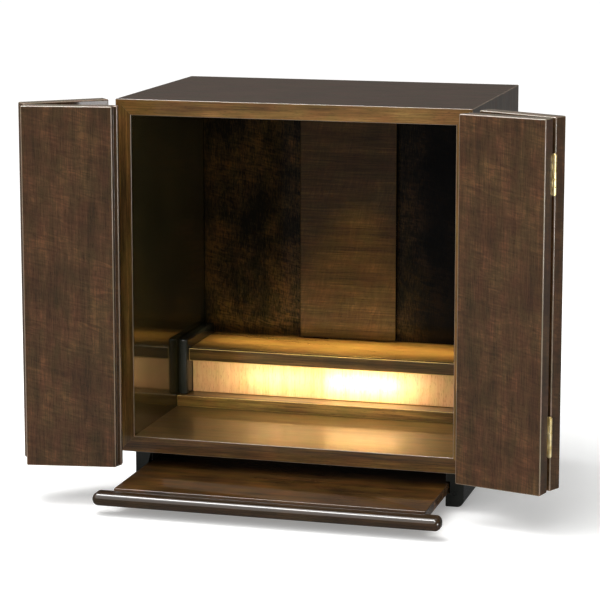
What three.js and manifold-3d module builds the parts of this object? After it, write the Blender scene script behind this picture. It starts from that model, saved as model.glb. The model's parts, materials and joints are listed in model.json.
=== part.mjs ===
// A tabletop household altar cabinet in dark satinwood veneer: a mitred box on a low base, two pairs of
// bifold doors, a stepped and lit interior and a sliding offering tray.
// Millimetres, +X right, +Y to the back, +Z up. The origin is the middle of the rear base rail's
// underside, on the surface that the cabinet stands on.
import * as THREE from 'three';
import { ConvexGeometry } from 'three/addons/geometries/ConvexGeometry.js';
import { mergeVertices } from 'three/addons/utils/BufferGeometryUtils.js';
import Module from 'manifold-3d';

const wasm = await Module();
wasm.setup();

// Box
const WIDTH = 360;
const HEIGHT = 358;
const DEPTH = 243;
const BOARD = 16;
const BASE_HEIGHT = 39.5;
const EASE = 0.8;            // chamfer that stands for the eased edge of every board
const GAP = 0.3;             // air between two pieces that touch
const BACK_THICKNESS = 6;
const BACK_INSET = 1;

// Base
const RUNNER_THICKNESS = 18.3;
const RUNNER_INSET = 9.3;    // from the box's side to the runner's outer face
const RUNNER_SETBACK = 22;   // from the box's front to the runner's front
const RUNNER_REAR_INSET = 8;
const RUNNER_CORNER = 7;     // radius of the runner's outer lower corner
const RAIL_THICKNESS = 16;

// Interior
const STEP_SETBACK = 136;
const STEP_HEIGHT = 12;
const SHELF_TOP = 78;        // above the box's underside
const SHELF_THICKNESS = 8;
const NOSING_SETBACK = 144;
const NOSING_HEIGHT = 13.5;
const NOSING_DEPTH = 6;
const NOSING_EASE = 1.6;
const RISER_SETBACK = 157;
const RISER_THICKNESS = 6;
const CHEEK_THICKNESS = 10.7;
const CHEEK_TOP = 88;
const CHEEK_SETBACK = 138.6;
const CENTRE_PANEL_WIDTH = 106;
const CENTRE_PANEL_THICKNESS = 8;
const CENTRE_PANEL_LIFT = 1.2;

// Lamps
const SHELF_LAMP_LENGTH = 92;
const SHELF_LAMP_DEPTH = 5.6;
const SHELF_LAMP_HEIGHT = 3.4;
const SHELF_LENS_SPACING = 62;
const SHELF_LENS_LENGTH = 14;
const SHELF_LENS_HEIGHT = 0.9;
const SHELF_LENS_INSET = 1;  // from the strip's front and rear edges
const DOWNLIGHT_SETBACK = 165;
const DOWNLIGHT_RADIUS = 15;
const DOWNLIGHT_HEIGHT = 3;
const DOWNLIGHT_LENS_RADIUS = 11;
const DOWNLIGHT_LENS_HEIGHT = 2;
const DOWNLIGHT_SIDES = 24;

// Doors
const DOOR_THICKNESS = 16;
const DOOR_HEIGHT = 357;
const DOOR_GAP = 1;          // between the closed doors and the box, and between two leaves
const OUTER_LEAF_WIDTH = 89;
const LIP_WIDTH = 4;         // half lap where the two inner leaves meet
const LIP_THICKNESS = 7.6;
const REBATE_WIDTH = 4;
const REBATE_DEPTH = 8.2;
const LEFT_OPENING = 139;    // degrees that each door stands open, and degrees that its leaves are folded
const LEFT_FOLD = 148.5;
const RIGHT_OPENING = 154;
const RIGHT_FOLD = 169.1;

// Hinges: 38 mm brass butts
const HINGE_LENGTH = 38;
const HINGE_FROM_END = 54;   // from the box's underside or top to the hinge's middle
const HINGE_KNUCKLES = 5;
const KNUCKLE_RADIUS = 2.4;
const PIN_RADIUS = 1;
const PIN_BORE = 1.3;
const PIN_HEAD_RADIUS = 1.7;
const PIN_HEAD_HEIGHT = 0.9;
const PIN_END_INSET = 1;     // the pin's shank ends this far inside its heads' outer knuckles
const PLATE_THICKNESS = 1;
const PLATE_REACH = 12;      // fold hinge: from the axis to the plate's far edge
const PLATE_NOTCH = 0.35;    // air between a plate and the other plate's knuckles
const TAB_LAP = 1;           // how far a knuckle's tab runs into its barrel and into its plate
const SIDE_AXIS_OUT = 3.2;   // door to cabinet: the axis stands this far outside the box's side
const SIDE_PLATE_REACH = 14.5;
const FOLD_AXIS_LIFT = 2.5;  // leaf to leaf: the axis stands this far off the leaves' inner faces
const FOLD_PLATE_SINK = 0.4; // how deep a fold hinge's plate is let into the wood
const HINGE_SIDES = 16;

// Tray, at rest pulled out to the front
const TRAY_DROP = 15;        // from the box's underside to the tray board's top
const TRAY_THICKNESS = 10;
const TRAY_TONGUE = 3.4;     // how far each edge of the board runs inside its groove
const TRAY_LENGTH = 196;
const TRAY_PULL = 107.5;     // from pushed in to the rest position
const TRAY_STOP_CLEARANCE = 0.5;
const BAR_LENGTH = 347;
const BAR_DEPTH = 17;
const BAR_HEIGHT = 13.2;
const BAR_DROP = 16.8;       // from the box's underside to the bar's top
const BAR_END_RADIUS = 6;
const BAR_BACK_RADIUS = 2;
const ARC_STEPS = 6;
const BAR_BACK_STEPS = 2;

const SAME_POINT = 1e-4;     // vertices nearer than this are one

// Places worked out from the sizes above
const CEILING = BASE_HEIGHT + HEIGHT - BOARD;
const INNER_FLOOR = BASE_HEIGHT + BOARD;
const STEP_TOP = INNER_FLOOR + STEP_HEIGHT;
const SHELF_Z = BASE_HEIGHT + SHELF_TOP;
const HALF_WIDTH = WIDTH / 2;
const INNER_HALF = HALF_WIDTH - BOARD;
const FRONT = -(DEPTH - RUNNER_REAR_INSET - RAIL_THICKNESS / 2);
const REAR = FRONT + DEPTH;
const BACK_FACE = REAR - BACK_INSET - BACK_THICKNESS;
const INNER_REAR = BACK_FACE - GAP;
const RUNNER_INNER = HALF_WIDTH - RUNNER_INSET - RUNNER_THICKNESS;
const RUNNER_OUTER = HALF_WIDTH - RUNNER_INSET;
const RUNNER_FRONT = FRONT + RUNNER_SETBACK;
const RUNNER_REAR = REAR - RUNNER_REAR_INSET;
const TRAY_TOP = BASE_HEIGHT - TRAY_DROP;
const DOOR_BOTTOM = BASE_HEIGHT + (HEIGHT - DOOR_HEIGHT) / 2;
const OUTER_LEAF_EDGE = HALF_WIDTH - OUTER_LEAF_WIDTH;
const FOLD_AXIS_X = OUTER_LEAF_EDGE - DOOR_GAP / 2;
const SIDE_AXIS_Y = FRONT - DOOR_GAP / 2;
const HINGE_HEIGHTS = { lower: BASE_HEIGHT + HINGE_FROM_END, upper: BASE_HEIGHT + HEIGHT - HINGE_FROM_END };

const finishes = {
  frame: { color: 0x5c4630, roughness: 0.32 },
  door: { color: 0x4a3326, roughness: 0.3 },
  interior: { color: 0x2b2118, roughness: 0.12 },
  figured: { color: 0x5e4424, roughness: 0.3 },
  riser: { color: 0xb98a54, roughness: 0.4 },
  lacquer: { color: 0x14130f, roughness: 0.15 },
  brass: { color: 0xb99a55, roughness: 0.3, metalness: 1 },
  fitting: { color: 0x26231f, roughness: 0.5 },
  lens: { color: 0xffd9a0, roughness: 0.4, emissive: 0xffb45a },
};

function material(finish) {
  return new THREE.MeshStandardMaterial({ metalness: 0, ...finishes[finish] });
}

function addMesh(parent, name, geometry, finish) {
  const mesh = new THREE.Mesh(geometry, material(finish));
  mesh.name = name;
  parent.add(mesh);
  return mesh;
}

// A closed mesh as a solid that can be cut and joined, from its shared positions alone.
function toSolid(geometry) {
  const bare = geometry.clone();
  bare.deleteAttribute('normal');
  bare.deleteAttribute('uv');
  const merged = mergeVertices(bare, SAME_POINT);
  return new wasm.Manifold(new wasm.Mesh({
    numProp: 3,
    vertProperties: new Float32Array(merged.attributes.position.array),
    triVerts: new Uint32Array(merged.index.array),
  }));
}

function toGeometry(solid) {
  const mesh = solid.getMesh();
  const geometry = new THREE.BufferGeometry();
  geometry.setAttribute('position', new THREE.BufferAttribute(new Float32Array(mesh.vertProperties), 3));
  geometry.setIndex(new THREE.BufferAttribute(new Uint32Array(mesh.triVerts), 1));
  geometry.computeVertexNormals();
  return geometry;
}

function boxBetween(low, high) {
  const size = high.map((value, i) => value - low[i]);
  const middle = high.map((value, i) => (value + low[i]) / 2);
  return new THREE.BoxGeometry(...size).translate(...middle);
}

// A board with every edge eased: each corner gives three points, one on each face that meets there.
function easedBoard(low, high, ease = EASE) {
  const points = [];
  for (let corner = 0; corner < 8; corner += 1) {
    const ends = [0, 1, 2].map((axis) => (corner >> axis) & 1);
    for (let face = 0; face < 3; face += 1) {
      const inset = (axis) => (axis === face ? 0 : ease);
      const place = (axis) => (ends[axis] ? high[axis] - inset(axis) : low[axis] + inset(axis));
      points.push(new THREE.Vector3(...[0, 1, 2].map(place)));
    }
  }
  return new ConvexGeometry(points);
}

// One mitred board of the box: along its length it narrows from the outer face to the inner one.
// place(length, across, y) turns the board's own directions into x, y, z.
function mitredBoard(halfLength, place) {
  const mitreGap = GAP * Math.SQRT1_2;
  const points = [];
  const addPair = (depthIn, pulled, y) => {
    const end = halfLength - pulled - mitreGap;
    points.push(place(-end, depthIn, y), place(end, depthIn, y));
  };
  for (const [y, inset] of [[FRONT, EASE], [FRONT + EASE, 0], [REAR - EASE, 0], [REAR, EASE]]) {
    addPair(inset, Math.max(inset, EASE), y);
    addPair(BOARD - inset, BOARD - inset, y);
  }
  for (const y of [FRONT + EASE, REAR - EASE]) {
    addPair(EASE / 2, EASE / 2, y);
  }
  return new ConvexGeometry(points);
}

function extrudeUp(shape, height, bevel) {
  return new THREE.ExtrudeGeometry(shape, {
    depth: height - 2 * bevel,
    bevelEnabled: true,
    bevelThickness: bevel,
    bevelSize: bevel,
    bevelOffset: -bevel,
    bevelSegments: 1,
    curveSegments: ARC_STEPS,
  }).translate(0, 0, bevel);
}

function outline(points) {
  return new THREE.Shape(points.map(([x, y]) => new THREE.Vector2(x, y)));
}

// Carcass: four mitred boards and a thin back let in between them.
function addCarcass(parent) {
  const middle = BASE_HEIGHT + HEIGHT / 2;
  const halfHeight = HEIGHT / 2;
  const boards = {
    carcass_top: [HALF_WIDTH, (s, t, y) => new THREE.Vector3(s, y, middle + halfHeight - t)],
    carcass_bottom: [HALF_WIDTH, (s, t, y) => new THREE.Vector3(s, y, middle - halfHeight + t)],
    carcass_side_left: [halfHeight, (s, t, y) => new THREE.Vector3(t - HALF_WIDTH, y, middle + s)],
    carcass_side_right: [halfHeight, (s, t, y) => new THREE.Vector3(HALF_WIDTH - t, y, middle + s)],
  };
  for (const [name, [halfLength, place]] of Object.entries(boards)) {
    addMesh(parent, name, mitredBoard(halfLength, place), 'frame');
  }
  const low = [GAP - INNER_HALF, BACK_FACE, INNER_FLOOR + GAP];
  const high = [INNER_HALF - GAP, BACK_FACE + BACK_THICKNESS, CEILING - GAP];
  addMesh(parent, 'carcass_back', boxBetween(low, high), 'interior');
}

// Interior: a low step, a riser behind its nosing, a shelf over the riser, two cheeks beside them and a
// figured panel on the back.
function addInterior(parent) {
  const full = INNER_HALF - GAP;
  const inner = INNER_HALF - GAP - CHEEK_THICKNESS - GAP;
  addMesh(parent, 'lower_step', easedBoard(
    [-full, FRONT + STEP_SETBACK, INNER_FLOOR + GAP], [full, INNER_REAR, STEP_TOP],
  ), 'frame');
  addMesh(parent, 'lit_riser', boxBetween(
    [-inner, FRONT + RISER_SETBACK, STEP_TOP + GAP],
    [inner, FRONT + RISER_SETBACK + RISER_THICKNESS, SHELF_Z - SHELF_THICKNESS - GAP],
  ), 'riser');
  addMesh(parent, 'upper_shelf', boxBetween(
    [-inner, FRONT + NOSING_SETBACK + NOSING_DEPTH + GAP, SHELF_Z - SHELF_THICKNESS],
    [inner, INNER_REAR, SHELF_Z],
  ), 'frame');
  addMesh(parent, 'shelf_nosing', easedBoard(
    [-inner, FRONT + NOSING_SETBACK, SHELF_Z - NOSING_HEIGHT],
    [inner, FRONT + NOSING_SETBACK + NOSING_DEPTH, SHELF_Z], NOSING_EASE,
  ), 'frame');
  for (const [name, side] of [['cheek_left', -1], ['cheek_right', 1]]) {
    addMesh(parent, name, cheek(side), 'lacquer');
  }
  addMesh(parent, 'centre_panel', easedBoard(
    [-CENTRE_PANEL_WIDTH / 2, INNER_REAR - CENTRE_PANEL_THICKNESS, SHELF_Z + GAP + CENTRE_PANEL_LIFT],
    [CENTRE_PANEL_WIDTH / 2, INNER_REAR, CEILING - GAP],
  ), 'figured');
}

// A board beside the riser and shelf, with a half-round front edge.
function cheek(side) {
  const radius = CHEEK_THICKNESS / 2;
  const middle = side * (INNER_HALF - GAP - radius);
  const arcFront = FRONT + CHEEK_SETBACK + radius;
  const shape = new THREE.Shape();
  shape.moveTo(middle + radius, INNER_REAR);
  shape.lineTo(middle - radius, INNER_REAR);
  shape.lineTo(middle - radius, arcFront);
  shape.absarc(middle, arcFront, radius, Math.PI, 2 * Math.PI, false);
  const bottom = STEP_TOP + GAP;
  return extrudeUp(shape, BASE_HEIGHT + CHEEK_TOP - bottom, EASE).translate(0, 0, bottom);
}

// Lamps: a short strip with two lenses under the shelf, behind the nosing, and a downlight in the ceiling.
function addLamps(parent) {
  const stripTop = SHELF_Z - SHELF_THICKNESS - GAP;
  const stripFront = FRONT + NOSING_SETBACK + NOSING_DEPTH + GAP;
  addMesh(parent, 'shelf_lamp_strip', easedBoard(
    [-SHELF_LAMP_LENGTH / 2, stripFront, stripTop - SHELF_LAMP_HEIGHT],
    [SHELF_LAMP_LENGTH / 2, stripFront + SHELF_LAMP_DEPTH, stripTop], EASE / 2,
  ), 'fitting');
  for (const [name, side] of [['shelf_lamp_lens_left', -1], ['shelf_lamp_lens_right', 1]]) {
    const x = side * SHELF_LENS_SPACING / 2;
    const lensTop = stripTop - SHELF_LAMP_HEIGHT - GAP;
    addMesh(parent, name, boxBetween(
      [x - SHELF_LENS_LENGTH / 2, stripFront + SHELF_LENS_INSET, lensTop - SHELF_LENS_HEIGHT],
      [x + SHELF_LENS_LENGTH / 2, stripFront + SHELF_LAMP_DEPTH - SHELF_LENS_INSET, lensTop],
    ), 'lens');
  }
  const ringBottom = CEILING - GAP - DOWNLIGHT_HEIGHT;
  const profile = [
    [DOWNLIGHT_LENS_RADIUS + GAP, 0], [DOWNLIGHT_RADIUS - EASE, 0], [DOWNLIGHT_RADIUS, EASE],
    [DOWNLIGHT_RADIUS, DOWNLIGHT_HEIGHT], [DOWNLIGHT_LENS_RADIUS + GAP, DOWNLIGHT_HEIGHT],
    [DOWNLIGHT_LENS_RADIUS + GAP, 0],
  ].map(([r, z]) => new THREE.Vector2(r, z));
  const ring = new THREE.LatheGeometry(profile, DOWNLIGHT_SIDES).rotateX(Math.PI / 2);
  addMesh(parent, 'downlight_ring', ring.translate(0, FRONT + DOWNLIGHT_SETBACK, ringBottom), 'fitting');
  const lens = new THREE.CylinderGeometry(
    DOWNLIGHT_LENS_RADIUS, DOWNLIGHT_LENS_RADIUS, DOWNLIGHT_LENS_HEIGHT, DOWNLIGHT_SIDES,
  ).rotateX(Math.PI / 2);
  const lensMiddle = CEILING - GAP - DOWNLIGHT_LENS_HEIGHT / 2;
  addMesh(parent, 'downlight_lens', lens.translate(0, FRONT + DOWNLIGHT_SETBACK, lensMiddle), 'lens');
}

// Base: two runners, grooved inside for the tray, and a rail across the back.
function addBase(parent) {
  const top = BASE_HEIGHT - GAP;
  const grooveLow = TRAY_TOP - TRAY_THICKNESS - GAP;
  const grooveHigh = TRAY_TOP + GAP;
  const grooveFloor = RUNNER_INNER + TRAY_TONGUE + GAP;
  for (const [name, side] of [['base_runner_left', -1], ['base_runner_right', 1]]) {
    const shape = new THREE.Shape();
    shape.moveTo(RUNNER_INNER, 0);
    shape.lineTo(RUNNER_OUTER - RUNNER_CORNER, 0);
    shape.absarc(RUNNER_OUTER - RUNNER_CORNER, RUNNER_CORNER, RUNNER_CORNER, -Math.PI / 2, 0, false);
    shape.lineTo(RUNNER_OUTER, top);
    shape.lineTo(RUNNER_INNER, top);
    shape.lineTo(RUNNER_INNER, grooveHigh);
    shape.lineTo(grooveFloor, grooveHigh);
    shape.lineTo(grooveFloor, grooveLow);
    shape.lineTo(RUNNER_INNER, grooveLow);
    const depth = RUNNER_REAR - RUNNER_FRONT;
    const runner = new THREE.ExtrudeGeometry(shape, { depth, bevelEnabled: false, curveSegments: ARC_STEPS })
      .rotateX(Math.PI / 2).translate(0, RUNNER_REAR, 0);
    addMesh(parent, name, side > 0 ? runner : mirrored(runner), 'lacquer');
  }
  addMesh(parent, 'base_rail_rear', boxBetween(
    [GAP - RUNNER_INNER, RUNNER_REAR - RAIL_THICKNESS, 0], [RUNNER_INNER - GAP, RUNNER_REAR, top],
  ), 'lacquer');
}

// The same geometry on the other side of the cabinet's middle plane, with its faces turned back outwards.
function mirrored(geometry) {
  const plain = geometry.index ? geometry.toNonIndexed() : geometry.clone();
  plain.scale(-1, 1, 1);
  const position = plain.attributes.position.array;
  for (let i = 0; i < position.length; i += 9) {
    const second = position.slice(i + 3, i + 6);
    position.copyWithin(i + 3, i + 6, i + 9);
    position.set(second, i + 6);
  }
  plain.deleteAttribute('uv');
  plain.computeVertexNormals();
  return plain;
}

// Tray: a board in the base's grooves with a bullnosed bar across its front, both at rest.
function addTray(parent) {
  const barBack = RUNNER_FRONT - TRAY_STOP_CLEARANCE - TRAY_PULL;
  const halfBoard = RUNNER_INNER + TRAY_TONGUE;
  addMesh(parent, 'tray_board', easedBoard(
    [-halfBoard, barBack + GAP, TRAY_TOP - TRAY_THICKNESS],
    [halfBoard, barBack + GAP + TRAY_LENGTH, TRAY_TOP],
  ), 'frame');
  addMesh(parent, 'tray_front_bar', trayBar(barBack), 'frame');
}

// The bar's section has a full round front and small round back corners, and it shrinks round each end.
function trayBar(barBack) {
  const nose = BAR_HEIGHT / 2;
  const middleZ = BASE_HEIGHT - BAR_DROP - nose;
  const section = [];
  for (let i = 0; i <= 2 * ARC_STEPS; i += 1) {
    const angle = Math.PI / 2 + (Math.PI * i) / (2 * ARC_STEPS);
    section.push([nose * Math.cos(angle) + nose - BAR_DEPTH, nose * Math.sin(angle)]);
  }
  for (const [sign, start] of [[-1, -Math.PI / 2], [1, 0]]) {
    for (let i = 0; i <= BAR_BACK_STEPS; i += 1) {
      const angle = start + (Math.PI / 2) * (i / BAR_BACK_STEPS);
      const corner = nose - BAR_BACK_RADIUS;
      section.push([
        BAR_BACK_RADIUS * Math.cos(angle) - BAR_BACK_RADIUS,
        BAR_BACK_RADIUS * Math.sin(angle) + sign * corner,
      ]);
    }
  }
  const points = [];
  for (let i = 0; i <= ARC_STEPS; i += 1) {
    const turn = (Math.PI / 2) * (i / ARC_STEPS);
    const x = BAR_LENGTH / 2 - BAR_END_RADIUS * (1 - Math.sin(turn));
    const shrink = BAR_END_RADIUS * (1 - Math.cos(turn));
    const scaleY = 1 - (2 * shrink) / BAR_DEPTH;
    const scaleZ = 1 - (2 * shrink) / BAR_HEIGHT;
    for (const [y, z] of section) {
      const shifted = (y + BAR_DEPTH / 2) * scaleY - BAR_DEPTH / 2;
      for (const side of [-1, 1]) {
        points.push(new THREE.Vector3(side * x, barBack + shifted, middleZ + z * scaleZ));
      }
    }
  }
  return new ConvexGeometry(points);
}

// A butt hinge about an upright axis through the origin: the fixed leaf's solid, then the turning leaf's.
// Each entry of plates has its leaf's plate and its knuckles' tab, as low and high corners in plan.
function buttHinge(plates) {
  const half = HINGE_LENGTH / 2;
  const pitch = HINGE_LENGTH / HINGE_KNUCKLES;
  const block = ([low, high], bottom, top) => toSolid(boxBetween([...low, bottom], [...high, top]));
  const leaves = plates.map(({ plate }) => block(plate, -half, half));
  for (let knuckle = 0; knuckle < HINGE_KNUCKLES; knuckle += 1) {
    const own = knuckle % 2;
    const low = -half + pitch * knuckle + (knuckle ? GAP / 2 : 0);
    const high = -half + pitch * (knuckle + 1) - (knuckle < HINGE_KNUCKLES - 1 ? GAP / 2 : 0);
    let barrel = upright(KNUCKLE_RADIUS, low, high).add(block(plates[own].tab, low, high));
    if (own === 1) {
      barrel = barrel.subtract(upright(PIN_BORE, low - GAP, high + GAP));
    }
    leaves[own] = leaves[own].add(barrel);
  }
  const pin = upright(PIN_RADIUS, PIN_END_INSET - half, half - PIN_END_INSET);
  const lowerHead = upright(PIN_HEAD_RADIUS, -half - PIN_HEAD_HEIGHT, PIN_END_INSET - half);
  const upperHead = upright(PIN_HEAD_RADIUS, half - PIN_END_INSET, half + PIN_HEAD_HEIGHT);
  leaves[0] = leaves[0].add(pin).add(lowerHead).add(upperHead);
  return leaves.map(toGeometry);
}

function upright(radius, low, high) {
  const cylinder = new THREE.CylinderGeometry(radius, radius, high - low, HINGE_SIDES).rotateX(Math.PI / 2);
  return toSolid(cylinder.translate(0, 0, (low + high) / 2));
}

// Plates and tabs of a side hinge, closed: they lie on the outer faces, the cabinet's behind the axis and the
// door's on the leaf's end, in front of it.
function sideHingePlates(side) {
  return platesPast(SIDE_AXIS_OUT - GAP, SIDE_PLATE_REACH, [1, -1], (along, depth) => [-side * depth, along]);
}

// Plates and tabs of a fold hinge, closed: the outer leaf's runs outwards and the inner leaf's inwards.
function foldHingePlates(side) {
  const depth = FOLD_AXIS_LIFT + FOLD_PLATE_SINK;
  return platesPast(depth, PLATE_REACH, [side, -side], (along, out) => [along, -out]);
}

// Two plates in one plane that run opposite ways past a hinge's axis, as low and high corners in plan. Their
// faces on the wood are at a depth from the axis, and place(along, depth) gives x and y.
function platesPast(depth, reach, ways, place) {
  const top = depth - PLATE_THICKNESS;
  const clear = Math.sqrt((KNUCKLE_RADIUS + PLATE_NOTCH) ** 2 - top ** 2);
  return ways.map((way) => {
    const rectangle = (near, far) => {
      const corners = [place(way * near, depth), place(way * far, top)];
      return [Math.min, Math.max].map((pick) => [0, 1].map((i) => pick(corners[0][i], corners[1][i])));
    };
    return { plate: rectangle(clear, reach), tab: rectangle(GAP, clear + TAB_LAP) };
  });
}

// Shallow mortises for a leaf's hinge plates, at both hinge heights, between two distances from the
// cabinet's middle plane, from a depth in the leaf's inner face outwards.
function cutMortises(geometry, side, depth, span) {
  const xs = span.map((x) => side * x).sort((a, b) => a - b);
  const half = HINGE_LENGTH / 2 + GAP;
  const face = FRONT - DOOR_GAP;
  let solid = toSolid(geometry);
  for (const height of Object.values(HINGE_HEIGHTS)) {
    const cutter = boxBetween([xs[0], face - depth, height - half], [xs[1], face + EASE, height + half]);
    solid = solid.subtract(toSolid(cutter));
  }
  return toGeometry(solid);
}

// A door leaf, closed, as an upright board with eased corners all round its plan outline.
function leafBoard(points) {
  return extrudeUp(outline(points), DOOR_HEIGHT, EASE).translate(0, 0, DOOR_BOTTOM);
}

function easedRectangle(x0, x1, y0, y1) {
  return [
    [x0 + EASE, y0], [x1 - EASE, y0], [x1, y0 + EASE], [x1, y1 - EASE],
    [x1 - EASE, y1], [x0 + EASE, y1], [x0, y1 - EASE], [x0, y0 + EASE],
  ];
}

// The inner leaf's outline for the left door, whose lip laps behind the right door.
function lippedOutline(x0, x1, y0, y1) {
  const lipFront = y1 - LIP_THICKNESS;
  return [
    [x0 + EASE, y0], [x1 - EASE, y0], [x1, y0 + EASE], [x1, lipFront],
    [x1 + LIP_WIDTH - EASE, lipFront], [x1 + LIP_WIDTH, lipFront + EASE],
    [x1 + LIP_WIDTH, y1 - EASE], [x1 + LIP_WIDTH - EASE, y1],
    [x0 + EASE, y1], [x0, y1 - EASE], [x0, y0 + EASE],
  ];
}

// The inner leaf's outline for the right door, rebated to take the left door's lip.
function rebatedOutline(x0, x1, y0, y1) {
  const rebateFloor = y1 - REBATE_DEPTH;
  return [
    [x0 + EASE, y0], [x1 - EASE, y0], [x1, y0 + EASE], [x1, y1 - EASE], [x1 - EASE, y1],
    [x0 + REBATE_WIDTH + EASE, y1], [x0 + REBATE_WIDTH, y1 - EASE], [x0 + REBATE_WIDTH, rebateFloor],
    [x0, rebateFloor], [x0, y0 + EASE],
  ];
}

// One bifold door: nested groups turn the outer leaf about the cabinet's corner and the inner leaf about
// the outer one. Both are drawn closed, in front of the box, and turned open from there.
function addDoor(parent, side, opening, fold) {
  const word = side < 0 ? 'left' : 'right';
  const front = FRONT - DOOR_GAP - DOOR_THICKNESS;
  const back = FRONT - DOOR_GAP;
  const radians = THREE.MathUtils.degToRad;

  const swingAxis = new THREE.Vector3(side * (HALF_WIDTH + SIDE_AXIS_OUT), SIDE_AXIS_Y, 0);
  const swing = turningGroup(parent, swingAxis, side * radians(opening));
  const foldAxis = new THREE.Vector3(side * FOLD_AXIS_X, back + FOLD_AXIS_LIFT, 0);
  const folding = turningGroup(swing, foldAxis, -side * radians(fold));

  const ordered = (a, b) => (a < b ? [a, b] : [b, a]);
  const outerXs = ordered(side * OUTER_LEAF_EDGE, side * HALF_WIDTH);
  const mortise = FOLD_PLATE_SINK + GAP;
  const outerSpan = [FOLD_AXIS_X, FOLD_AXIS_X + PLATE_REACH + GAP];
  const outer = cutMortises(leafBoard(easedRectangle(...outerXs, front, back)), side, mortise, outerSpan);
  addMesh(swing, `door_${word}_outer_leaf`, outer, 'door');

  const innerXs = ordered(side * (DOOR_GAP / 2), side * (OUTER_LEAF_EDGE - DOOR_GAP));
  const innerOutline = side < 0 ? lippedOutline : rebatedOutline;
  const innerSpan = [FOLD_AXIS_X - PLATE_REACH - GAP, FOLD_AXIS_X];
  const inner = cutMortises(leafBoard(innerOutline(...innerXs, front, back)), side, mortise, innerSpan);
  addMesh(folding, `door_${word}_inner_leaf`, inner, 'door');

  for (const [level, height] of Object.entries(HINGE_HEIGHTS)) {
    const [cabinetPlate, doorPlate] = buttHinge(sideHingePlates(side));
    const name = `${word}_${level}`;
    addMesh(parent, `side_hinge_${name}_cabinet_plate`,
      cabinetPlate.translate(swingAxis.x, swingAxis.y, height), 'brass');
    addMesh(swing, `side_hinge_${name}_door_plate`,
      doorPlate.translate(swingAxis.x, swingAxis.y, height), 'brass');
    const [outerPlate, innerPlate] = buttHinge(foldHingePlates(side));
    addMesh(swing, `fold_hinge_${name}_outer_plate`,
      outerPlate.translate(foldAxis.x, foldAxis.y, height), 'brass');
    addMesh(folding, `fold_hinge_${name}_inner_plate`,
      innerPlate.translate(foldAxis.x, foldAxis.y, height), 'brass');
  }
}

// A group that turns what it holds about an upright axis through a point given in its parent's frame.
function turningGroup(parent, axisPoint, angle) {
  const pivot = new THREE.Group();
  pivot.position.copy(axisPoint);
  pivot.rotation.z = angle;
  const content = new THREE.Group();
  content.position.copy(axisPoint).negate();
  pivot.add(content);
  parent.add(pivot);
  return content;
}

const altar = new THREE.Group();
addCarcass(altar);
addInterior(altar);
addLamps(altar);
addBase(altar);
addTray(altar);
addDoor(altar, -1, LEFT_OPENING, LEFT_FOLD);
addDoor(altar, 1, RIGHT_OPENING, RIGHT_FOLD);

export default altar;
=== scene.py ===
"""A tabletop household altar cabinet in dark satinwood veneer, dressed over its CAD frame.

Metres, +Z up, +X right, +Y to the back. Every board, leaf, hinge and lamp is a surface worked out on a grid
from the frame's own boxes and joints, and takes the place of the CAD node that it is named after.
"""

import json
import math

import bpy
import numpy as np
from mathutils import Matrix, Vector

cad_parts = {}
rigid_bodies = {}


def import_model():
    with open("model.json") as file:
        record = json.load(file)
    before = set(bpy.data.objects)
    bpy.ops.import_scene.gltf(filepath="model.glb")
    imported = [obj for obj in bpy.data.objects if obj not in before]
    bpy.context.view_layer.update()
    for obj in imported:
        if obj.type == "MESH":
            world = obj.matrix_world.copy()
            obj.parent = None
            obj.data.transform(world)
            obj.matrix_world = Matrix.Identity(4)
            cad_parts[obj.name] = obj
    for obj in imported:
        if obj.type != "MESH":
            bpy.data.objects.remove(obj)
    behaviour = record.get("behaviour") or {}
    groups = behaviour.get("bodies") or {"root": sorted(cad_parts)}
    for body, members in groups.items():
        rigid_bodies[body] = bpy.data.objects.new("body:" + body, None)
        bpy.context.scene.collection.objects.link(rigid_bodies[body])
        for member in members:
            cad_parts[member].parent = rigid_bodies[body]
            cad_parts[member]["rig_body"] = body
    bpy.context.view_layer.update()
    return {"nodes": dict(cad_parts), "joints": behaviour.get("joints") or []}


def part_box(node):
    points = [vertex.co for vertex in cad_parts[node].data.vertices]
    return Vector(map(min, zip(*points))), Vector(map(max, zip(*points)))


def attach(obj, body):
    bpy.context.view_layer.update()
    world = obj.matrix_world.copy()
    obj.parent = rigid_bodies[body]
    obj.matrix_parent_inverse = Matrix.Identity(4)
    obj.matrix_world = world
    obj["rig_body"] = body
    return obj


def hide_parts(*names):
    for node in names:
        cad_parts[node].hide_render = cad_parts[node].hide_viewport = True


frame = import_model()

MM = 0.001

# Edges
EDGE = 0.8 * MM              # radius of a board's rounded edge
LEAF_EDGE = 1.4 * MM
INSIDE_CORNER = 0.3 * MM
NOSING_EDGE = 1.2 * MM
CHEEK_TOP_EDGE = 2.2 * MM
CHEEK_NOSE = 0.499           # of a cheek's thickness: a full round, but for a hair of flat
ARC_STEPS = 5                # faces round a quarter turn
ROUND_STEPS = 48             # faces round a lamp or a screw
PIN_STEPS = 24               # faces round a knuckle or a pin

# Which way a face looks
FACING = 0.7                 # how far along a way a face's normal goes, at least, if the face looks that way
FLAT_FACE = 0.985            # how far it goes, at least, along one of a board's directions on a flat face

# Box
MITRE_GAP = 0.05 * MM
TIP_SPREAD = 0.02 * MM       # keeps the rings at a mitre's tip apart

# Base
RUNNER_CORNER = 7 * MM
RUNNER_THICKNESS = 18.3 * MM
RUNNER_STEPS = 8
GROOVE_DEPTH = 3.7 * MM
GROOVE_CLEARANCE = 0.3 * MM

# Tray bar
BAR_NOSE = 0.999             # of half the bar's height
BAR_BACK_RADIUS = 2 * MM
BAR_END_RADIUS = 6 * MM
BAR_STEPS = 12

# Lamps
LENS_EDGE = 0.3 * MM
LENS_GAP = 0.3 * MM          # round the downlight's lens, and below it to its beam
LENS_GLOW = 6.0
POOL_LEFT = -53 * MM         # where the photograph's two pools of light lie on the riser
POOL_RIGHT = 34 * MM

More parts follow.
